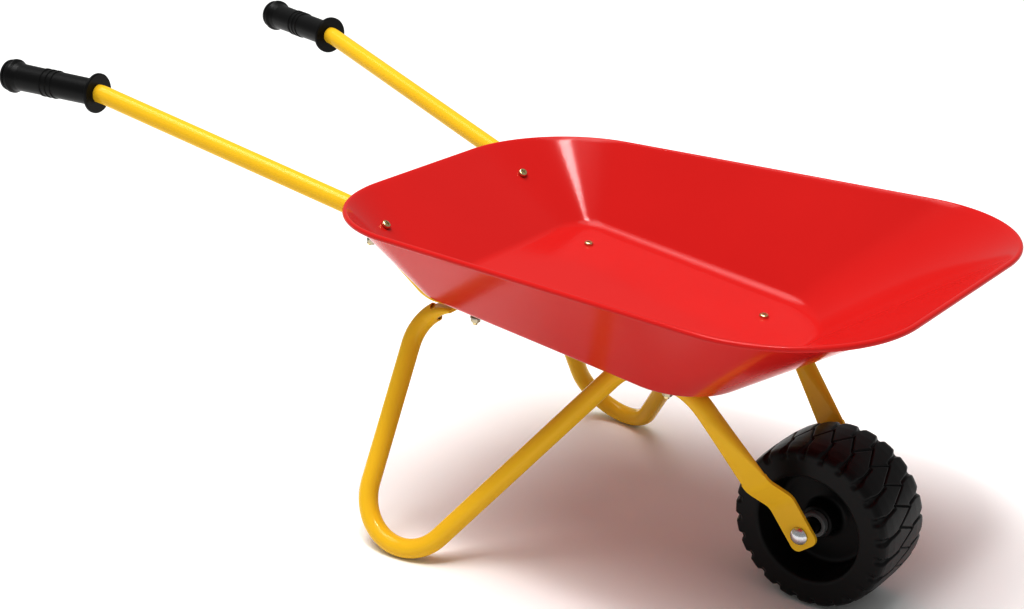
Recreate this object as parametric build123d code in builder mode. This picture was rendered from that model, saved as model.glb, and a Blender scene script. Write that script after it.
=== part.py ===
from build123d import *
import os
from math import asin, atan, cos, degrees, hypot, pi, radians, sin, tan

os.makedirs("parts", exist_ok=True)

# A small wheelbarrow: a pressed steel tray on a frame of bent steel tube.
# Millimetres. +Z is up, the wheel is at -Y and the grips are at +Y.
# The origin lies on the ground, below the middle of the whole barrow.
# Left and right are those of someone who stands between the grips and
# looks over the tray, so the right side is at -X.

# Tray: sheet steel with a rolled edge, deeper towards the wheel.
sheet_drop = 1.0
rim_half_width_back = 155.5
rim_half_width_front = 183.5
rim_back_y = 71.8
rim_front_y = -415.6
rim_corner_back = 99.0
rim_corner_front = 102.0
rim_slope = degrees(atan(0.011))
rim_height = 269.0 + 0.011 * 227.7
bead_radius = 2.4
floor_half_width_back = 112.5
floor_half_width_front = 108.5
floor_back_y = -6.0
floor_front_y = -270.5
floor_corner_back = 28.0
floor_corner_front = 56.0
floor_slope = degrees(atan(0.1276))
floor_height = 203.4 + 0.1276 * 43.2
floor_fillet = 15.0

# Steel tube, all of one size.
tube_radius = 8.0
tube_bore_radius = 6.8
flat_thickness = 2.8
paint = 0.03

# Screws: M4 pan heads with a washer and a hexagon nut below the tube.
shank_radius = 2.0
bolt_hole_radius = 2.2
head_radius = 4.0
head_height = 2.6
washer_radius = 4.5
washer_thickness = 1.0
nut_across_flats = 7.0
nut_height = 3.2
wall_screw_length = 24.0
floor_screw_length = 24.0
leg_screw_length = 27.0
wall_screw_x = 90.3
wall_screw_y = 39.6
wall_head_gap = 0.15

# Wheel: hollow moulding on two bushes, turning on a plain axle.
wheel_radius = 65.0
wheel_half_width = 33.5
axle_y = -322.8
axle_height = wheel_radius
axle_radius = 4.0
bush_bore_radius = 4.05
tread_blocks = 24
tread_depth = 2.6

# Grips: soft plastic with a hand stop at the front.
grip_length = 101.0
grip_stop_radius = 17.3
grip_body_radius = 11.4
grip_end_radius = 14.9


def floor_at(y):
    """Height of the tray floor's upper face."""
    return floor_height + tan(radians(floor_slope)) * y


def rim_at(y):
    """Height of the rim's plane."""
    return rim_height + tan(radians(rim_slope)) * y


def tilted(y, z, angle):
    """A plane that rises towards +Y by an angle, with its own y axis up the slope."""
    return Plane(
        origin=(0, y, z),
        x_dir=(1, 0, 0),
        z_dir=(0, -sin(radians(angle)), cos(radians(angle))),
    )


def tray_outline(plane, half_back, half_front, back, front, corner_back, corner_front):
    """A trapezoid with rounded corners, symmetric about X = 0."""
    with BuildSketch(plane) as outline:
        with BuildLine():
            Polyline(
                (-half_back, back),
                (half_back, back),
                (half_front, front),
                (-half_front, front),
                close=True,
            )
        make_face()
        fillet(outline.vertices().group_by(Axis.Y)[-1], corner_back)
        fillet(outline.vertices().group_by(Axis.Y)[0], corner_front)
    return outline


def dome_middle(start, radius, top):
    """The point halfway along the arc of a ball-shaped dome turned about x, which
    starts at a radius and closes on the axis at its top."""
    height = top - start
    ball_radius = (radius**2 + height**2) / (2 * height)
    half_angle = asin(radius / ball_radius) / 2
    return (
        top - ball_radius + ball_radius * cos(half_angle),
        ball_radius * sin(half_angle),
    )


# ---------------------------------------------------------------- tray
rim_middle = (rim_back_y + rim_front_y) / 2
rim_plane = tilted(rim_middle, rim_at(rim_middle), rim_slope)
rim_half_length = (rim_back_y - rim_front_y) / 2 / cos(radians(rim_slope))
floor_middle = (floor_back_y + floor_front_y) / 2
floor_plane = tilted(floor_middle, floor_at(floor_middle) - sheet_drop, floor_slope)
floor_half_length = (floor_back_y - floor_front_y) / 2 / cos(radians(floor_slope))

rim_outline = tray_outline(
    rim_plane,
    rim_half_width_back,
    rim_half_width_front,
    rim_half_length,
    -rim_half_length,
    rim_corner_back,
    rim_corner_front,
)
floor_outline = tray_outline(
    floor_plane,
    floor_half_width_back,
    floor_half_width_front,
    floor_half_length,
    -floor_half_length,
    floor_corner_back,
    floor_corner_front,
)

# The tray's outside, closed at the rim, with the soft fold round its floor.
with BuildPart() as tray_body:
    add(floor_outline.sketch)
    add(rim_outline.sketch)
    loft(ruled=True)
    fillet(tray_body.faces().sort_by(Axis.Z)[0].edges(), floor_fillet)

# The same body moved straight up is the hollow, which thins the steep walls
# as pressing does.
hollow = tray_body.part.moved(Location((0, 0, sheet_drop)))

rim_wire = rim_outline.sketch.face().outer_wire()
bead_start = rim_wire.edges().filter_by(GeomType.LINE).sort_by(Axis.Y)[0] @ 0.5

# Three pairs of screw positions on the tray's upper face, left-hand (+X) side.
# The wall has begun to turn into its corner where the highest pair sits.
wall_screw_at, wall_inward = hollow.find_intersection_points(
    Axis((wall_screw_x, wall_screw_y, 0), (0, 0, 1))
)[0]
wall_normal = wall_inward if wall_inward.Z < 0 else wall_inward * -1
rear_screw_at = Vector(75.4, -43.2, floor_at(-43.2))
front_screw_at = Vector(67.8, -221.2, floor_at(-221.2))
floor_normal = Vector(0, sin(radians(floor_slope)), -cos(radians(floor_slope)))

# Each screw looks down its own axis: the plane's z runs from head to nut.
wall_screw_plane = Plane(
    origin=wall_screw_at, x_dir=Vector(0, 1, 0).cross(wall_normal), z_dir=wall_normal
)
rear_screw_plane = Plane(origin=rear_screw_at, x_dir=(1, 0, 0), z_dir=floor_normal)
front_screw_plane = Plane(origin=front_screw_at, x_dir=(1, 0, 0), z_dir=floor_normal)
wall_sheet = sheet_drop * abs(wall_normal.Z)
floor_sheet = sheet_drop * cos(radians(floor_slope))


def bolt_hole(plane, depth):
    """A drilled hole along a screw's axis, kept outside any builder."""
    with BuildPart(mode=Mode.PRIVATE) as hole:
        with BuildSketch(plane.offset(-10)):
            Circle(bolt_hole_radius)
        extrude(amount=depth + 10)
    return hole.part


with BuildPart() as tray:
    add(tray_body.part)
    add(hollow, mode=Mode.SUBTRACT)
    with BuildSketch(Plane(origin=bead_start, z_dir=(1, 0, 0))):
        Circle(bead_radius)
    sweep(path=rim_wire)
    for screw_plane in (wall_screw_plane, rear_screw_plane, front_screw_plane):
        drilled = bolt_hole(screw_plane, 6)
        add(drilled, mode=Mode.SUBTRACT)
        add(drilled.mirror(Plane.YZ), mode=Mode.SUBTRACT)
tray.part.label = "tray"
export_step(tray.part, "parts/tray.step")

# ---------------------------------------------------------------- handle tubes
# The whole tube lies in one upright plane that closes in towards the wheel.
# In that plane, u runs back towards the grip and v is height.
handle_plan = degrees(atan(0.1906))
handle_origin_x = 83.3
handle_plane = Plane(
    origin=(handle_origin_x, 0, 0),
    x_dir=(sin(radians(handle_plan)), cos(radians(handle_plan)), 0),
    z_dir=(cos(radians(handle_plan)), -sin(radians(handle_plan)), 0),
)
along = cos(radians(handle_plan))

# Under the floor the tube's centre line keeps one distance from the sheet, and
# behind the back wall it lies in the plane that touches the wall at its screw.
under_floor = (floor_sheet + tube_radius + paint) / cos(radians(floor_slope))
floor_rise = tan(radians(floor_slope))
wall_contact = wall_screw_at + wall_normal * (wall_sheet + tube_radius + paint)
wall_rise = (wall_normal.X * tan(radians(handle_plan)) + wall_normal.Y) / -wall_normal.Z
tube_low_end_y = -56.0
tube_knee_y = (
    wall_contact.Z - wall_rise * wall_contact.Y - floor_height + under_floor
) / (floor_rise - wall_rise)
tube_crook = (315.0, 327.0)
shaft_rise = 0.271
tube_shoulder_y = (
    wall_contact.Z - wall_rise * wall_contact.Y - tube_crook[1] + shaft_rise * tube_crook[0]
) / (shaft_rise - wall_rise)
grip_rise = 0.0665
tube_top_y = tube_crook[0] + 95.4
handle_points = [
    (tube_low_end_y / along, floor_at(tube_low_end_y) - under_floor),
    (tube_knee_y / along, floor_at(tube_knee_y) - under_floor),
    (
        tube_shoulder_y / along,
        tube_crook[1] - shaft_rise * (tube_crook[0] - tube_shoulder_y),
    ),
    (tube_crook[0] / along, tube_crook[1]),
    (tube_top_y / along, tube_crook[1] + grip_rise * (tube_top_y - tube_crook[0])),
]

with BuildPart() as handle_tube_left:
    with BuildLine(handle_plane) as handle_path:
        FilletPolyline(*handle_points, radius=(20, 30, 30))
    handle_line = handle_path.wires()[0]
    with BuildSketch(Plane(origin=handle_line @ 0, z_dir=handle_line % 0)):
        Circle(tube_radius)
        Circle(tube_bore_radius, mode=Mode.SUBTRACT)
    sweep(path=handle_line)
    add(bolt_hole(wall_screw_plane, 40), mode=Mode.SUBTRACT)
    add(bolt_hole(rear_screw_plane, 40), mode=Mode.SUBTRACT)
handle_tube_left.part.label = "handle_tube_left"
export_step(handle_tube_left.part, "parts/handle_tube_left.step")

with BuildPart() as handle_tube_right:
    mirror(handle_tube_left.part, about=Plane.YZ)
handle_tube_right.part.label = "handle_tube_right"
export_step(handle_tube_right.part, "parts/handle_tube_right.step")

# ---------------------------------------------------------------- grips
# A grip is turned about its own length, x running to its closed end, and is
# then pushed onto the tube's straight end.
grip_axis = handle_line % 1
grip_front = handle_line @ 1 - grip_axis * 94.0
grip_across = Vector(0, 0, 1).cross(grip_axis).normalized()
grip_plane = Plane(origin=grip_front, x_dir=grip_axis, z_dir=grip_axis.cross(grip_across))

with BuildPart() as grip_turned:
    with BuildSketch():
        with BuildLine():
            Polyline(
                (0, tube_radius),
                (0, grip_stop_radius - 0.8),
                (0.8, grip_stop_radius),
                (2.4, grip_stop_radius),
                (3.2, grip_stop_radius - 0.8),
                (3.6, grip_body_radius + 1.6),
                (5.4, grip_body_radius),
                (44.0, grip_body_radius + 0.2),
                (44.6, grip_body_radius + 1.0),
                (46.4, grip_body_radius + 1.0),
                (47.0, grip_body_radius + 0.2),
                (49.8, grip_body_radius + 0.2),
                (50.4, grip_body_radius + 1.0),
                (52.2, grip_body_radius + 1.0),
                (52.8, grip_body_radius + 0.2),
                (55.6, grip_body_radius + 0.2),
                (56.2, grip_body_radius + 1.0),
                (58.0, grip_body_radius + 1.0),
                (58.6, grip_body_radius + 0.3),
                (84.0, grip_body_radius + 0.6),
                (88.5, grip_body_radius + 1.6),
                (90.5, grip_end_radius - 0.4),
                (91.2, grip_end_radius),
                (93.4, grip_end_radius),
                (94.2, grip_end_radius - 0.6),
                (94.6, grip_end_radius - 1.6),
                (95.8, grip_end_radius - 1.6),
                (96.2, grip_end_radius - 0.9),
                (98.6, grip_end_radius - 1.4),
            )
            ThreePointArc(
                (98.6, grip_end_radius - 1.4),
                dome_middle(98.6, grip_end_radius - 1.4, grip_length),
                (grip_length, 0),
            )
            Polyline(
                (grip_length, 0),
                (94.0, 0),
                (94.0, tube_radius),
                (0, tube_radius),
            )
        make_face()
    revolve(axis=Axis.X)

with BuildPart() as grip_left:
    add(grip_turned.part.moved(grip_plane.location))
grip_left.part.label = "grip_left"
export_step(grip_left.part, "parts/grip_left.step")

with BuildPart() as grip_right:
    mirror(grip_left.part, about=Plane.YZ)
grip_right.part.label = "grip_right"
export_step(grip_right.part, "parts/grip_right.step")

# ---------------------------------------------------------------- leg frames
# One tube makes a leg, the strut up to the tray's front and the wheel's fork.
# It starts under the rear floor screw, where it is pressed flat.
flat_depth = floor_sheet + 2 * (tube_radius + paint) + flat_thickness / 2
leg_tip = rear_screw_at + floor_normal * flat_depth + Vector(0.4, -10.5, -10.5 * 0.1276)
leg_knee = Vector(71.9, 14.1, leg_tip.Z + 0.1276 * (14.1 - leg_tip.Y))
foot_corner = Vector(206.8, 18.4, -75.93)
strut_top = Vector(57.5, -180.5, floor_at(-180.5) - under_floor)
fork_shoulder = Vector(72.0, -245.0, floor_at(-245.0) - under_floor)
foot_radius = 41.6

# The fork runs straight in side view from its shoulder to the axle.
axle_at = Vector(0, axle_y, axle_height)
fork_run = hypot(fork_shoulder.Y - axle_y, fork_shoulder.Z - axle_height)
fork_down = Vector(
    0, (axle_y - fork_shoulder.Y) / fork_run, (axle_height - fork_shoulder.Z) / fork_run
)
plate_x = 43.5
fork_flat_from = 79.0
fork_flat_x = 59.5
fork_flat_at = Vector(
    fork_flat_x,
    fork_shoulder.Y + fork_down.Y * fork_flat_from,
    fork_shoulder.Z + fork_down.Z * fork_flat_from,
)
plate_width = 23.4

with BuildLine() as leg_path:
    FilletPolyline(
        leg_tip,
        leg_knee,
        foot_corner,
        strut_top,
        fork_shoulder,
        fork_flat_at,
        radius=(40, foot_radius, 35, 31),
    )
leg_line = leg_path.wires()[0]
leg_length = leg_line.length


def flattened(distance, thickness, thin_direction):
    """A pressed tube's section at a distance along the leg: the rim of the tube
    keeps its length as it goes flat, so it widens."""
    place = leg_line.position_at(distance, position_mode=PositionMode.LENGTH)
    heading = leg_line.tangent_at(distance, position_mode=PositionMode.LENGTH)
    width = 8.0 * pi - (pi / 2 - 1) * thickness
    with BuildSketch(
        Plane(origin=place, x_dir=heading.cross(thin_direction), z_dir=heading)
    ) as section:
        SlotOverall(max(width, thickness + 0.2), thickness)
    return section.sketch


# Across the fork: x runs down it and y is the barrow's own X.
fork_plane = Plane(
    origin=(0, fork_shoulder.Y, fork_shoulder.Z),
    x_dir=fork_down,
    z_dir=fork_down.cross(Vector(1, 0, 0)),
)
with BuildPart() as axle_hole:
    with BuildSketch(Plane(origin=axle_at, z_dir=(1, 0, 0))):
        Circle(axle_radius)
    extrude(amount=60)

# Distances along the centre line where the tube starts and ends being round.
round_from = 52.0
round_to = leg_length - fork_flat_from + 22.0
sideways = Vector(1, 0, 0)
with BuildPart() as leg_frame_left:
    round_line = leg_line.trim(round_from / leg_length, round_to / leg_length)
    with BuildSketch(Plane(origin=round_line @ 0, z_dir=round_line % 0)):
        Circle(tube_radius)
        Circle(tube_bore_radius, mode=Mode.SUBTRACT)
    sweep(path=round_line)
    # Rear end, pressed flat under the handle tube. The last section lies inside
    # the round tube, so the two join along a clean edge.
    for distance, thickness in ((30.0, flat_thickness), (46.0, 8.0), (62.0, 15.4)):
        add(flattened(distance, thickness, floor_normal))
    loft()
    # Fork, pressed flat step by step towards the axle.
    for distance, thickness in (
        (round_to, 16.0),
        (round_to + 16.0, 12.5),
        (round_to + 40.0, 6.5),
        (leg_length, flat_thickness),
    ):
        add(flattened(distance, thickness, sideways))
    loft()
    # The flat end steps in towards the wheel and carries the axle.
    with BuildSketch(fork_plane):
        with BuildLine() as plate_line:
            FilletPolyline(
                (fork_flat_from - 3.0, fork_flat_x + 0.5),
                (fork_flat_from + 3.0, fork_flat_x - 0.6),
                (fork_flat_from + 22.0, plate_x),
                (fork_run + 11.0, plate_x),
                radius=(15, 13),
            )
        trace(plate_line.line, line_width=flat_thickness)
    extrude(amount=plate_width / 2, both=True)
    plate_corners = leg_frame_left.edges().filter_by(Axis.X)
    fillet(plate_corners.sort_by(Axis(fork_plane.origin, fork_down))[-2:], 6.0)
    # A hole for the axle, and one for each screw.
    add(axle_hole.part, mode=Mode.SUBTRACT)
    add(bolt_hole(front_screw_plane, 40), mode=Mode.SUBTRACT)
    add(bolt_hole(rear_screw_plane, 40), mode=Mode.SUBTRACT)
leg_frame_left.part.label = "leg_frame_left"
export_step(leg_frame_left.part, "parts/leg_frame_left.step")

with BuildPart() as leg_frame_right:
    mirror(leg_frame_left.part, about=Plane.YZ)
leg_frame_right.part.label = "leg_frame_right"
export_step(leg_frame_right.part, "parts/leg_frame_right.step")


# ---------------------------------------------------------------- fasteners
def screw(plane, length):
    """A pan-head screw whose head sits on the plane, with a cross recess."""
    with BuildPart(mode=Mode.PRIVATE) as piece:
        with BuildSketch(plane):
            Circle(head_radius)
        extrude(amount=-head_height)
        fillet(piece.faces().sort_by(Axis(plane.origin, plane.z_dir))[0].edges(), 1.5)
        with BuildSketch(plane.offset(-head_height)):
            Rectangle(4.4, 0.9)
            Rectangle(0.9, 4.4)
        extrude(amount=1.3, mode=Mode.SUBTRACT)
        with BuildSketch(plane):
            Circle(shank_radius)
        extrude(amount=length)
        chamfer(piece.faces().sort_by(Axis(plane.origin, plane.z_dir))[-1].edges(), 0.5)
    return piece.part


def washer(plane, depth):
    """A flat washer at a depth below the screw head's seat."""
    with BuildPart(mode=Mode.PRIVATE) as piece:
        with BuildSketch(plane.offset(depth)):
            Circle(washer_radius)
            Circle(bolt_hole_radius, mode=Mode.SUBTRACT)
        extrude(amount=washer_thickness)
    return piece.part


def nut(plane, depth):
    """A hexagon nut below the washer, its lower corners rounded off."""
    with BuildPart(mode=Mode.PRIVATE) as piece:
        with BuildSketch(plane.offset(depth + washer_thickness)):
            RegularPolygon(nut_across_flats / 2, 6, major_radius=False)
        extrude(amount=nut_height)
        with BuildSketch(plane.offset(depth + washer_thickness)):
            Circle(nut_across_flats / 2 + 0.35)
        extrude(amount=nut_height, taper=-12, mode=Mode.INTERSECT)
        with BuildSketch(plane.offset(depth + washer_thickness)):
            Circle(shank_radius)
        extrude(amount=nut_height, mode=Mode.SUBTRACT)
    return piece.part


# Depth from each screw head's seat to its washer.
wall_stack = wall_sheet + 2 * (tube_radius + paint) + wall_head_gap
front_stack = floor_sheet + 2 * (tube_radius + paint)
rear_stack = front_stack + flat_thickness
# The wall is slightly hollow under its screw head, which rests on its rim.
places = (
    ("back_wall", wall_screw_plane.offset(-wall_head_gap), wall_stack, wall_screw_length),
    ("rear_floor", rear_screw_plane, rear_stack, leg_screw_length),
    ("front_floor", front_screw_plane, front_stack, floor_screw_length),
)
for place_name, screw_plane, stack, length in places:
    for kind, piece in (
        ("screws", screw(screw_plane, length)),
        ("washers", washer(screw_plane, stack)),
        ("nuts", nut(screw_plane, stack)),
    ):
        pair = Compound(
            label=place_name + "_" + kind,
            children=[piece, piece.mirror(Plane.YZ)],
        )
        export_step(pair, "parts/" + place_name + "_" + kind + ".step")

# ---------------------------------------------------------------- wheel
# The sketch has x along the axle and y outwards from it.
wheel_profile = Plane(origin=axle_at, x_dir=(1, 0, 0), z_dir=(0, -1, 0))
wheel_axis = Axis(axle_at, (1, 0, 0))
dish_radius = 42.5
barrel_radius = 38.5
web_half = 4.0
hub_half_width = 19.0
hub_radius = 13.0
bush_radius = 8.0
tread_foot = wheel_radius - tread_depth

with BuildPart() as wheel:
    with BuildSketch(wheel_profile):
        with BuildLine():
            FilletPolyline(
                (-wheel_half_width, dish_radius),
                (-wheel_half_width, 59.0),
                (-29.5, 63.4),
                (-14.0, wheel_radius),
                (14.0, wheel_radius),
                (29.5, 63.4),
                (wheel_half_width, 59.0),
                (wheel_half_width, dish_radius),
                (web_half, barrel_radius),
                (web_half, hub_radius + 1.0),
                (hub_half_width, hub_radius),
                (hub_half_width, bush_radius),
                (-hub_half_width, bush_radius),
                (-hub_half_width, hub_radius),
                (-web_half, hub_radius + 1.0),
                (-web_half, barrel_radius),
                close=True,
                radius=(2, 2, 3, 6, 6, 3, 2, 2, 3, 3, 0.8, 0, 0, 0.8, 3, 3),
            )
        make_face()
        # The moulding is hollow all round under the tread.
        with BuildLine():
            Polyline(
                (-wheel_half_width + 3, dish_radius + 3),
                (-wheel_half_width + 3, 57.0),
                (-26.5, 59.6),
                (26.5, 59.6),
                (wheel_half_width - 3, 57.0),
                (wheel_half_width - 3, dish_radius + 3),
                (web_half, barrel_radius + 3),
                (-web_half, barrel_radius + 3),
                close=True,
            )
        make_face(mode=Mode.SUBTRACT)
    revolve(axis=wheel_axis)
    # Grooves between the shoulder blocks, staggered by half a block from one
    # side to the other, and a zigzag that joins their inner ends.
    for side in (1, -1):
        with Locations(Plane(origin=axle_at, z_dir=(1, 0, 0))):
            with PolarLocations(
                tread_foot + 3.0, tread_blocks, start_angle=90.0 * side / tread_blocks
            ):
                with Locations((0, 0, side * 21.0)):
                    Box(6, 2.0, 20, rotation=(side * 14, 0, 0), mode=Mode.SUBTRACT)
                with Locations((0.6, side * 2.4, side * 31.5)):
                    Box(8, 5.4, 8, rotation=(side * 14, 0, 0), mode=Mode.SUBTRACT)
    with Locations(Plane(origin=axle_at, z_dir=(1, 0, 0))):
        with PolarLocations(tread_foot + 3.6, tread_blocks):
            Box(6, 1.6, 24.6, rotation=(19, 0, 0), mode=Mode.SUBTRACT)
        with PolarLocations(
            tread_foot + 3.6, tread_blocks, start_angle=180.0 / tread_blocks
        ):
            Box(6, 1.6, 24.6, rotation=(-19, 0, 0), mode=Mode.SUBTRACT)
wheel.part.label = "wheel"
export_step(wheel.part, "parts/wheel.step")

# A grey bush is pressed into each side of the hub, with a ring standing proud.
ring_radius = 10.0
ring_bore_radius = 7.0
ring_height = 5.0
with BuildPart() as wheel_bush_left:
    with BuildSketch(wheel_profile):
        with BuildLine():
            Polyline(
                (3.0, bush_bore_radius),
                (3.0, bush_radius),
                (hub_half_width, bush_radius),
                (hub_half_width, ring_radius),
                (hub_half_width + ring_height - 0.6, ring_radius),
                (hub_half_width + ring_height, ring_radius - 0.6),
                (hub_half_width + ring_height, ring_bore_radius + 0.4),
                (hub_half_width + ring_height - 0.4, ring_bore_radius),
                (hub_half_width, ring_bore_radius),
                (hub_half_width, bush_bore_radius),
                close=True,
            )
        make_face()
    revolve(axis=wheel_axis)
wheel_bush_left.part.label = "wheel_bush_left"
export_step(wheel_bush_left.part, "parts/wheel_bush_left.step")

with BuildPart() as wheel_bush_right:
    mirror(wheel_bush_left.part, about=Plane.YZ)
wheel_bush_right.part.label = "wheel_bush_right"
export_step(wheel_bush_right.part, "parts/wheel_bush_right.step")

# ---------------------------------------------------------------- axle
plate_outside = plate_x + flat_thickness / 2
plate_inside = plate_x - flat_thickness / 2
axle_end = plate_outside + 3.0
with BuildPart() as axle:
    with BuildSketch(Plane(origin=axle_at - Vector(axle_end, 0, 0), z_dir=(1, 0, 0))):
        Circle(axle_radius)
    extrude(amount=2 * axle_end)
axle.part.label = "axle"
export_step(axle.part, "parts/axle.step")

# A domed push-on cap covers each end of the axle.
cap_radius = 7.0
with BuildPart() as axle_cap_left:
    with BuildSketch(wheel_profile):
        with BuildLine():
            Polyline(
                (axle_end, 0),
                (axle_end, axle_radius),
                (plate_outside, axle_radius),
                (plate_outside, cap_radius),
                (plate_outside + 1.2, cap_radius),
            )
            ThreePointArc(
                (plate_outside + 1.2, cap_radius),
                dome_middle(plate_outside + 1.2, cap_radius, plate_outside + 5.4),
                (plate_outside + 5.4, 0),
            )
            Line((plate_outside + 5.4, 0), (axle_end, 0))
        make_face()
    revolve(axis=wheel_axis)
axle_cap_left.part.label = "axle_cap_left"
export_step(axle_cap_left.part, "parts/axle_cap_left.step")

with BuildPart() as axle_cap_right:
    mirror(axle_cap_left.part, about=Plane.YZ)
axle_cap_right.part.label = "axle_cap_right"
export_step(axle_cap_right.part, "parts/axle_cap_right.step")

# A spacer keeps the wheel midway between the two fork plates.
spacer_radius = 5.8
with BuildPart() as axle_spacer_left:
    with BuildSketch(wheel_profile):
        with BuildLine():
            Polyline(
                (hub_half_width + 0.4, axle_radius),
                (hub_half_width + 0.4, spacer_radius),
                (plate_inside, spacer_radius),
                (plate_inside, axle_radius),
                close=True,
            )
        make_face()
    revolve(axis=wheel_axis)
axle_spacer_left.part.label = "axle_spacer_left"
export_step(axle_spacer_left.part, "parts/axle_spacer_left.step")

with BuildPart() as axle_spacer_right:
    mirror(axle_spacer_left.part, about=Plane.YZ)
axle_spacer_right.part.label = "axle_spacer_right"
export_step(axle_spacer_right.part, "parts/axle_spacer_right.step")
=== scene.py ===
import math

import bpy
from mathutils import Matrix, Vector


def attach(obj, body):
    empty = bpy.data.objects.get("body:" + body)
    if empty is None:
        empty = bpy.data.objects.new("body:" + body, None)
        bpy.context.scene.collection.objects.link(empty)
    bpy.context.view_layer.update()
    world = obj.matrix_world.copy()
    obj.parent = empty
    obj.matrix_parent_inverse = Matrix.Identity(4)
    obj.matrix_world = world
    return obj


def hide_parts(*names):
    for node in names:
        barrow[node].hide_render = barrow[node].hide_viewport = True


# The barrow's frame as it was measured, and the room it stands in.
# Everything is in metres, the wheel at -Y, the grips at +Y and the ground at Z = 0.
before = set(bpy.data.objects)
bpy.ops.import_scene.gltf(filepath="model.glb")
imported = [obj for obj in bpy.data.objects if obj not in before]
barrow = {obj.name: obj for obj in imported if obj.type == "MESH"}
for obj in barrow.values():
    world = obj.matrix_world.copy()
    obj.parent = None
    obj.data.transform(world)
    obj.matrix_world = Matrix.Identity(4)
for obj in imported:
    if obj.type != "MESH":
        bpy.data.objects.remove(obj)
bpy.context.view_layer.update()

# The camera stands to the front right of the barrow, a little above it.
# It looks at a place just below the back of the tray's floor, with a longish lens.
camera_data = bpy.data.cameras.new("studio_camera")
camera_data.sensor_width = 36.0
camera_data.lens = 61.39
camera_data.shift_x = -0.001
camera_data.shift_y = -0.0012
camera = bpy.data.objects.new("studio_camera", camera_data)
bpy.context.scene.collection.objects.link(camera)
camera_at = Vector((-1.0788, -0.8675, 0.6915))
camera_target = Vector((0.0, -0.0193, 0.1670))
camera_turn = (camera_target - camera_at).to_track_quat("-Z", "Y").to_matrix().to_4x4()
camera_roll = Matrix.Rotation(math.radians(-0.55), 4, "Z")
camera.matrix_world = Matrix.Translation(camera_at) @ camera_turn @ camera_roll
bpy.context.scene.camera = camera
bpy.context.scene.view_settings.view_transform = "Standard"
bpy.context.scene.view_settings.gamma = 0.80
bpy.context.scene.view_settings.exposure = 0.12

# A pale studio floor that runs on behind the barrow, matt enough to hide its end.
# It is a wide painted board, lit by a white room.
floor_mesh = bpy.data.meshes.new("studio_floor")
floor_mesh.from_pydata(
    [(-9.0, -9.0, 0.0), (9.0, -9.0, 0.0), (9.0, 9.0, 0.0), (-9.0, 9.0, 0.0)],
    [],
    [(0, 1, 2, 3)],
)
studio_floor = bpy.data.objects.new("studio_floor", floor_mesh)
bpy.context.scene.collection.objects.link(studio_floor)
floor_white = bpy.data.materials.new("floor_white")
floor_white.use_nodes = True
floor_nodes = floor_white.node_tree.nodes
floor_shader = floor_nodes["Principled BSDF"]
floor_shader.inputs["Base Color"].default_value = (0.93, 0.93, 0.92, 1.0)
floor_shader.inputs["Roughness"].default_value = 0.7
floor_shader.inputs["Specular IOR Level"].default_value = 0.2
floor_mesh.materials.append(floor_white)

room = bpy.data.worlds.new("white_room")
room.use_nodes = True
room.node_tree.nodes["Background"].inputs["Color"].default_value = (1.0, 1.0, 1.0, 1.0)
room.node_tree.nodes["Background"].inputs["Strength"].default_value = 0.42
bpy.context.scene.world = room


def softbox(name, place, aim, width, height, power):
    """A plain rectangular studio light."""
    lamp = bpy.data.lights.new(name, "AREA")
    lamp.shape = "RECTANGLE"
    lamp.size = width
    lamp.size_y = height
    lamp.energy = power
    lamp_object = bpy.data.objects.new(name, lamp)
    lamp_object.location = place
    lamp_object.rotation_euler = (Vector(aim) - Vector(place)).to_track_quat("-Z", "Y").to_euler()
    bpy.context.scene.collection.objects.link(lamp_object)


softbox("softbox_above", (-0.3, 0.3, 2.6), (0.0, -0.1, 0.1), 1.4, 1.1, 22.0)
softbox("softbox_key", (-0.6, -0.6, 2.6), (0.0, -0.1, 0.2), 0.35, 0.35, 16.0)

# A wide skylight overhead keeps the floor evenly white out to its far end.
# It leans a little, so that the shadow falls just beside the barrow.
skylight = bpy.data.lights.new("skylight", "SUN")
skylight.energy = 1.8
skylight.angle = math.radians(50.0)
skylight_object = bpy.data.objects.new("skylight", skylight)
skylight_object.rotation_euler = (math.radians(-8.0), math.radians(-6.0), 0.0)
bpy.context.scene.collection.objects.link(skylight_object)


def enamel(name, colour, deep_colour, roughness):
    """Glossy stoved enamel on steel, with the fine ripple that the oven leaves."""
    paint = bpy.data.materials.new(name)
    paint.use_nodes = True
    nodes, links = paint.node_tree.nodes, paint.node_tree.links
    shader = nodes["Principled BSDF"]
    shader.inputs["Roughness"].default_value = roughness
    shader.inputs["IOR"].default_value = 1.3
    shader.inputs["Specular IOR Level"].default_value = 0.38
    shader.inputs["Coat Weight"].default_value = 0.06
    shader.inputs["Coat Roughness"].default_value = 0.04
    place = nodes.new("ShaderNodeTexCoord")
    drift = nodes.new("ShaderNodeTexNoise")
    drift.inputs["Scale"].default_value = 9.0
    drift.inputs["Detail"].default_value = 3.0
    links.new(place.outputs["Object"], drift.inputs["Vector"])
    shade = nodes.new("ShaderNodeMix")
    shade.data_type = "RGBA"
    shade.inputs["A"].default_value = (*deep_colour, 1.0)
    shade.inputs["B"].default_value = (*colour, 1.0)
    links.new(drift.outputs["Fac"], shade.inputs["Factor"])
    links.new(shade.outputs["Result"], shader.inputs["Base Color"])
    ripple = nodes.new("ShaderNodeTexNoise")
    ripple.inputs["Scale"].default_value = 420.0
    ripple.inputs["Detail"].default_value = 1.0
    links.new(place.outputs["Object"], ripple.inputs["Vector"])
    skin = nodes.new("ShaderNodeBump")
    skin.inputs["Strength"].default_value = 0.05
    skin.inputs["Distance"].default_value = 0.0004
    links.new(ripple.outputs["Fac"], skin.inputs["Height"])
    links.new(skin.outputs["Normal"], shader.inputs["Normal"])
    links.new(skin.outputs["Normal"], shader.inputs["Coat Normal"])
    return paint


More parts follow.
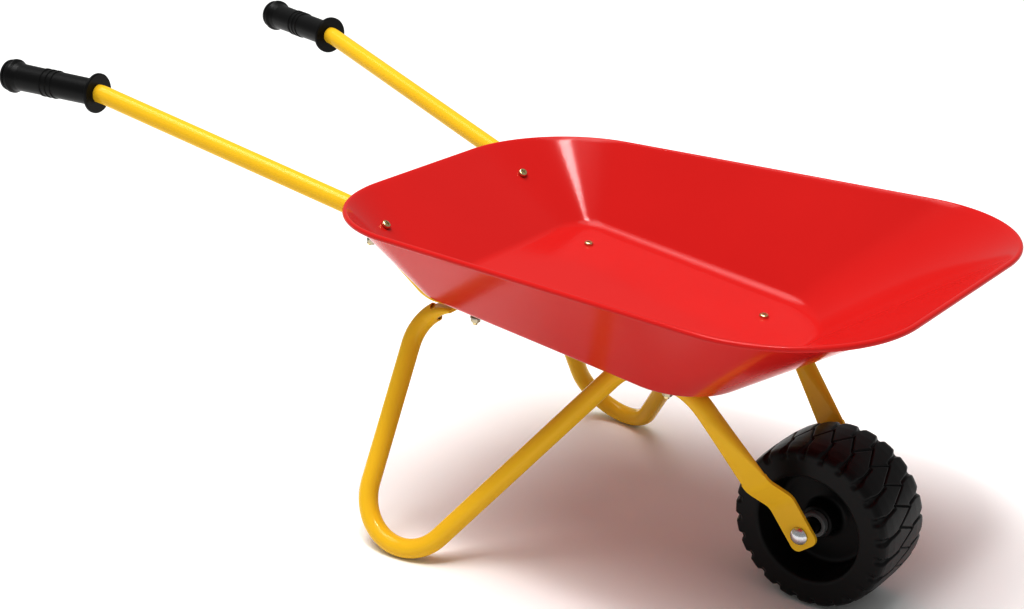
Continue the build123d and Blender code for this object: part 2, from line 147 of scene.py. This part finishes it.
# The tray is one pressed sheet of thin steel, deeper at the wheel end.
# Its flat floor slopes down to the wheel, its walls flare out to a wide rim, and the
# edge there is curled outwards into a bead. It is enamelled bright red all over.
red_enamel = enamel("red_enamel", (0.55, 0.020, 0.017), (0.50, 0.016, 0.014), 0.15)
curl_radius = 0.0023
curl_turn = math.radians(285.0)
# How far below the rim's plane the wall ends and its curl begins.
curl_drop = 0.0012
sheet_thickness = 0.0008
# Half widths at the back and at the front, the two ends along Y, the corner radii
# at the back and at the front, and the plane's height at Y = 0 with its slope.
rim_form = (0.1555, 0.1835, 0.0718, -0.4156, 0.099, 0.102, 0.271505, 0.0110)
floor_form = (0.1125, 0.1085, -0.0060, -0.2705, 0.028, 0.056, 0.208912, 0.1276)
fold_radius = 0.0150
corner_steps = 28
side_steps = 30


def rounded_outline(form):
    """Points round a trapezoid with rounded corners, evenly spaced along each stretch."""
    half_back, half_front, back, front, corner_back, corner_front, height, slope = form
    corners = (
        (Vector((half_back, back)), corner_back),
        (Vector((half_front, front)), corner_front),
        (Vector((-half_front, front)), corner_front),
        (Vector((-half_back, back)), corner_back),
    )
    arcs = []
    for number, (corner, radius) in enumerate(corners):
        before = (corners[number - 1][0] - corner).normalized()
        after = (corners[(number + 1) % 4][0] - corner).normalized()
        half_angle = before.angle(after) / 2.0
        centre = corner + (before + after).normalized() * radius / math.sin(half_angle)
        reach = radius / math.tan(half_angle)
        first = corner + before * reach - centre
        last = corner + after * reach - centre
        sweep = first.angle_signed(last)
        arcs.append((centre, first, -sweep))
    points = []
    for number, (centre, first, sweep) in enumerate(arcs):
        for step in range(corner_steps):
            turned = first.copy()
            turned.rotate(Matrix.Rotation(sweep * step / corner_steps, 2))
            points.append(centre + turned)
        last = first.copy()
        last.rotate(Matrix.Rotation(sweep, 2))
        next_centre, next_first, _ = arcs[(number + 1) % 4]
        for step in range(side_steps):
            points.append((centre + last).lerp(next_centre + next_first, step / side_steps))
    return [Vector((p.x, p.y, height + slope * p.y)) for p in points]


rim_line = rounded_outline(rim_form)
floor_line = rounded_outline(floor_form)
floor_centre = Vector((0.0, (floor_form[2] + floor_form[3]) / 2.0, 0.0))
floor_centre.z = floor_form[6] + floor_form[7] * floor_centre.y
floor_up = Vector((0.0, -floor_form[7], 1.0)).normalized()
wall_steps = 24
fold_steps = 8
curl_steps = 14


def tray_section(foot, lip, ahead):
    """The sheet's upper face from the floor to the end of its curled edge."""
    wall = (lip - foot).normalized()
    side = wall.cross(ahead).normalized()
    inward = ahead.cross(floor_up).normalized()
    if inward.dot(floor_centre - foot) < 0.0:
        inward.negate()
    if side.dot(floor_centre - foot) < 0.0:
        side.negate()
    # The fold is an arc that touches the floor and the wall.
    half_turn = inward.angle(wall) / 2.0
    reach = fold_radius / math.tan(half_turn)
    hub = foot + (inward + wall).normalized() * fold_radius / math.sin(half_turn)
    low = (foot + inward * reach - hub).normalized()
    high = (foot + wall * reach - hub).normalized()
    section = []
    for step in range(fold_steps + 1):
        section.append(hub + low.slerp(high, step / fold_steps) * fold_radius)
    wall_top = lip - wall * curl_drop
    for step in range(1, wall_steps + 1):
        section.append((hub + high * fold_radius).lerp(wall_top, step / wall_steps))
    # The edge curls outwards and down, a little over three quarters of a turn.
    curl_hub = wall_top - side * curl_radius
    for step in range(1, curl_steps + 1):
        turn = curl_turn * step / curl_steps
        section.append(
            curl_hub + side * curl_radius * math.cos(turn) + wall * curl_radius * math.sin(turn)
        )
    return section


sections = []
for number, (foot, lip) in enumerate(zip(floor_line, rim_line)):
    ahead = rim_line[(number + 1) % len(rim_line)] - rim_line[number - 1]
    sections.append(tray_section(foot, lip, ahead.normalized()))
tray_rows = len(sections[0])
floor_rings = 10
tray_points = []
tray_faces = []
for section in sections:
    for ring in range(floor_rings):
        tray_points.append(floor_centre.lerp(section[0], (ring + 1) / (floor_rings + 1)))
    tray_points += section
tray_rows += floor_rings
for column in range(len(sections)):
    next_column = (column + 1) % len(sections)
    for row in range(tray_rows - 1):
        tray_faces.append(
            (
                column * tray_rows + row,
                next_column * tray_rows + row,
                next_column * tray_rows + row + 1,
                column * tray_rows + row + 1,
            )
        )
tray_points.append(floor_centre)
for column in range(len(sections)):
    next_column = (column + 1) % len(sections)
    tray_faces.append((len(tray_points) - 1, next_column * tray_rows, column * tray_rows))
tray_mesh = bpy.data.meshes.new("pressed_tray")
tray_mesh.from_pydata(tray_points, [], tray_faces)
tray_mesh.shade_smooth()
tray_mesh.materials.append(red_enamel)
pressed_tray = bpy.data.objects.new("pressed_tray", tray_mesh)
bpy.context.scene.collection.objects.link(pressed_tray)
sheet = pressed_tray.modifiers.new("sheet", "SOLIDIFY")
sheet.thickness = sheet_thickness
sheet.offset = -1.0
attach(pressed_tray, "frame")
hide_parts("tray")

# Two handles and two leg frames are bent from one size of steel tube.
# They are enamelled yellow before the barrow is bolted together.
yellow_enamel = enamel("yellow_enamel", (0.78, 0.50, 0.030), (0.73, 0.45, 0.022), 0.16)
for tube in ("handle_tube_left", "handle_tube_right", "leg_frame_left", "leg_frame_right"):
    for slot in barrow[tube].material_slots:
        slot.material = yellow_enamel


def moulded_plastic(name, colour, roughness, grain, depth):
    """Moulded plastic with the fine spark-eroded grain of its mould."""
    plastic = bpy.data.materials.new(name)
    plastic.use_nodes = True
    nodes, links = plastic.node_tree.nodes, plastic.node_tree.links
    shader = nodes["Principled BSDF"]
    shader.inputs["Base Color"].default_value = (*colour, 1.0)
    shader.inputs["IOR"].default_value = 1.46
    shader.inputs["Specular IOR Level"].default_value = 0.22
    place = nodes.new("ShaderNodeTexCoord")
    cells = nodes.new("ShaderNodeTexNoise")
    cells.inputs["Scale"].default_value = grain
    cells.inputs["Detail"].default_value = 4.0
    links.new(place.outputs["Object"], cells.inputs["Vector"])
    sheen = nodes.new("ShaderNodeMapRange")
    sheen.inputs["To Min"].default_value = roughness - 0.08
    sheen.inputs["To Max"].default_value = roughness + 0.08
    links.new(cells.outputs["Fac"], sheen.inputs["Value"])
    links.new(sheen.outputs["Result"], shader.inputs["Roughness"])
    skin = nodes.new("ShaderNodeBump")
    skin.inputs["Strength"].default_value = 0.25
    skin.inputs["Distance"].default_value = depth
    links.new(cells.outputs["Fac"], skin.inputs["Height"])
    links.new(skin.outputs["Normal"], shader.inputs["Normal"])
    return plastic


# The grips are soft black plastic, pushed onto the tube ends. Each has a wide stop
# for the hand at its front and three ribs round its middle. The two spacers on the
# axle are moulded from the same plastic.
grip_black = moulded_plastic("grip_black", (0.004, 0.004, 0.004), 0.36, 1400.0, 0.0002)
for grip in ("grip_left", "grip_right", "axle_spacer_left", "axle_spacer_right"):
    for slot in barrow[grip].material_slots:
        slot.material = grip_black

# The wheel is one hollow black moulding with its tread blocks moulded on.
# Its face is dished deeply round a slim hub, and its two halves mirror each other.
wheel_black = moulded_plastic("wheel_black", (0.007, 0.007, 0.007), 0.36, 900.0, 0.0003)
axle_height = 0.0650
axle_forward = -0.3228
tread_blocks = 24
block_turn = 2.0 * math.pi / tread_blocks
turns_round_wheel = tread_blocks * 32
side_half_width = 0.0335
block_radius = 0.0640
# The outline takes fine steps outside the first radius, and the grooves are cut
# only outside the second.
tread_from = 0.0440
grooves_from = 0.0530
fine_step = 0.0008
coarse_step = 0.0025
# The shoulder grooves: where their mouths begin, how far they lean and how deep
# they are, and half their width, each with what it gains at the mouth.
mouth_from = 0.0265
groove_lean = 0.0042
groove_depths = (0.0019, 0.0003)
groove_half_widths = (0.0009, 0.0016)
# The zigzag along the middle: how far it swings, its depth and half its width.
zigzag_swing = 0.0098
zigzag_depth = 0.0021
zigzag_half_width = 0.0008
# The wheel's outline from one hub mouth across the tread: x along the axle, radius.
half_outline = (
    (0.0190, 0.0080),
    (0.0190, 0.0126),
    (0.0184, 0.0131),
    (0.0070, 0.0139),
    (0.0046, 0.0149),
    (0.0040, 0.0170),
    (0.0040, 0.0360),
    (0.0046, 0.0380),
    (0.0066, 0.0388),
    (0.0300, 0.0417),
    (0.0320, 0.0421),
    (0.0332, 0.0430),
    (0.0335, 0.0446),
    (0.0335, 0.0590),
    (0.0331, 0.0606),
    (0.0319, 0.0621),
    (0.0300, 0.0632),
    (0.0270, 0.0639),
    (0.0180, 0.0647),
    (0.0080, 0.0650),
)
corner_points = [Vector(p) for p in half_outline]
corner_points += [Vector((-p.x, p.y)) for p in reversed(corner_points)]
outline = []
for start, end in zip(corner_points, corner_points[1:]):
    on_tread = start.y > tread_from and end.y > tread_from
    steps = max(1, round((end - start).length / (fine_step if on_tread else coarse_step)))
    for step in range(steps):
        outline.append(start.lerp(end, step / steps))
outline.append(corner_points[-1])


def soft_step(value, edge, width):
    """1 inside the edge, 0 outside, with a rounded shoulder between."""
    t = min(max((edge + width - value) / (2.0 * width), 0.0), 1.0)
    return t * t * (3.0 - 2.0 * t)


def groove_depth(x, radius, turn):
    """How far the tread is cut in below its outline, at a place across and round it."""
    if radius < grooves_from:
        return 0.0
    side = 1.0 if x > 0.0 else -1.0
    across = abs(x)
    arc = block_radius * block_turn
    # Slanted grooves between the shoulder blocks, half a block apart on the two sides.
    lean = groove_lean * math.sin(min(across / side_half_width, 1.0) * math.pi * 0.5)
    phase = turn / block_turn + (0.25 if side > 0.0 else -0.25) + side * lean / arc
    from_groove = abs(phase - round(phase)) * arc
    mouth = soft_step(-across, -mouth_from, 0.0045)
    half_width = groove_half_widths[0] + groove_half_widths[1] * mouth
    depth = groove_depths[0] + groove_depths[1] * mouth
    depth *= soft_step(from_groove, half_width, 0.0005 + 0.0012 * mouth)
    depth *= 1.0 - soft_step(across, 0.0100, 0.0006)
    depth *= soft_step(0.0630 - radius, 0.0058, 0.0020)
    # A zigzag along the middle joins the inner ends of those grooves.
    zig = abs((turn / block_turn + 0.25) % 1.0 * 2.0 - 1.0) * 2.0 - 1.0
    # The slanted distance is scaled to the one square across the groove.
    from_zigzag = abs(x - zigzag_swing * zig) * 0.64
    middle = zigzag_depth * soft_step(from_zigzag, zigzag_half_width, 0.0004)
    middle *= soft_step(across, 0.0112, 0.0005)
    return max(depth, middle)


normals = []
for number, point in enumerate(outline):
    before = outline[max(number - 1, 0)]
    after = outline[min(number + 1, len(outline) - 1)]
    heading = (after - before).normalized()
    normals.append(Vector((heading.y, -heading.x)))
wheel_points = []
for column in range(turns_round_wheel):
    turn = 2.0 * math.pi * column / turns_round_wheel
    for point, normal in zip(outline, normals):
        cut = groove_depth(point.x, point.y, turn)
        x, radius = point.x - normal.x * cut, point.y - normal.y * cut
        wheel_points.append(
            (x, axle_forward + radius * math.cos(turn), axle_height + radius * math.sin(turn))
        )
rows = len(outline)
wheel_faces = []
for column in range(turns_round_wheel):
    next_column = (column + 1) % turns_round_wheel
    for row in range(rows - 1):
        wheel_faces.append(
            (
                column * rows + row,
                column * rows + row + 1,
                next_column * rows + row + 1,
                next_column * rows + row,
            )
        )
    wheel_faces.append(
        (
            column * rows + rows - 1,
            column * rows,
            next_column * rows,
            next_column * rows + rows - 1,
        )
    )
wheel_mesh = bpy.data.meshes.new("moulded_wheel")
wheel_mesh.from_pydata(wheel_points, [], wheel_faces)
wheel_mesh.shade_smooth()
wheel_mesh.materials.append(wheel_black)
moulded_wheel = bpy.data.objects.new("moulded_wheel", wheel_mesh)
bpy.context.scene.collection.objects.link(moulded_wheel)
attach(moulded_wheel, "wheel")
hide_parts("wheel")

# Two grey bushes are pressed into the wheel's hub and turn with it on the axle.
# Each is turned plastic with a thin ring that stands out of the hub.
bush_grey = moulded_plastic("bush_grey", (0.16, 0.165, 0.165), 0.4, 1200.0, 0.0002)
for bush in ("wheel_bush_left", "wheel_bush_right"):
    for slot in barrow[bush].material_slots:
        slot.material = bush_grey


def plated_metal(name, colour, dark_colour, roughness):
    """Plated steel, a little uneven in colour from the bath."""
    metal = bpy.data.materials.new(name)
    metal.use_nodes = True
    nodes, links = metal.node_tree.nodes, metal.node_tree.links
    shader = nodes["Principled BSDF"]
    shader.inputs["Metallic"].default_value = 1.0
    place = nodes.new("ShaderNodeTexCoord")
    bath = nodes.new("ShaderNodeTexNoise")
    bath.inputs["Scale"].default_value = 260.0
    bath.inputs["Detail"].default_value = 3.0
    links.new(place.outputs["Object"], bath.inputs["Vector"])
    shade = nodes.new("ShaderNodeMix")
    shade.data_type = "RGBA"
    shade.inputs["A"].default_value = (*dark_colour, 1.0)
    shade.inputs["B"].default_value = (*colour, 1.0)
    links.new(bath.outputs["Fac"], shade.inputs["Factor"])
    links.new(shade.outputs["Result"], shader.inputs["Base Color"])
    sheen = nodes.new("ShaderNodeMapRange")
    sheen.inputs["To Min"].default_value = roughness - 0.06
    sheen.inputs["To Max"].default_value = roughness + 0.06
    links.new(bath.outputs["Fac"], sheen.inputs["Value"])
    links.new(sheen.outputs["Result"], shader.inputs["Roughness"])
    return metal


# The axle is a plain rod held in the fork by a domed cap on each end.
# The caps are bright plated steel, pushed on over the rod.
cap_bright = plated_metal("cap_bright", (0.72, 0.73, 0.75), (0.55, 0.56, 0.58), 0.26)
rod_steel = plated_metal("rod_steel", (0.55, 0.56, 0.57), (0.40, 0.41, 0.42), 0.30)
for cap in ("axle_cap_left", "axle_cap_right"):
    for slot in barrow[cap].material_slots:
        slot.material = cap_bright
for slot in barrow["axle"].material_slots:
    slot.material = rod_steel

# Six small screws hold the tray to its tubes: two through the back wall and four
# through the floor. They are yellow-plated, with a washer and a nut below.
yellow_plate = plated_metal("yellow_plate", (0.78, 0.66, 0.40), (0.58, 0.47, 0.24), 0.24)
nut_plate = plated_metal("nut_plate", (0.55, 0.50, 0.38), (0.38, 0.34, 0.24), 0.28)
washer_plate = plated_metal("washer_plate", (0.36, 0.35, 0.33), (0.24, 0.23, 0.22), 0.34)
for place_name in ("back_wall", "rear_floor", "front_floor"):
    for kind, plate in (("screws", yellow_plate), ("washers", washer_plate), ("nuts", nut_plate)):
        for slot in barrow[place_name + "_" + kind].material_slots:
            slot.material = plate
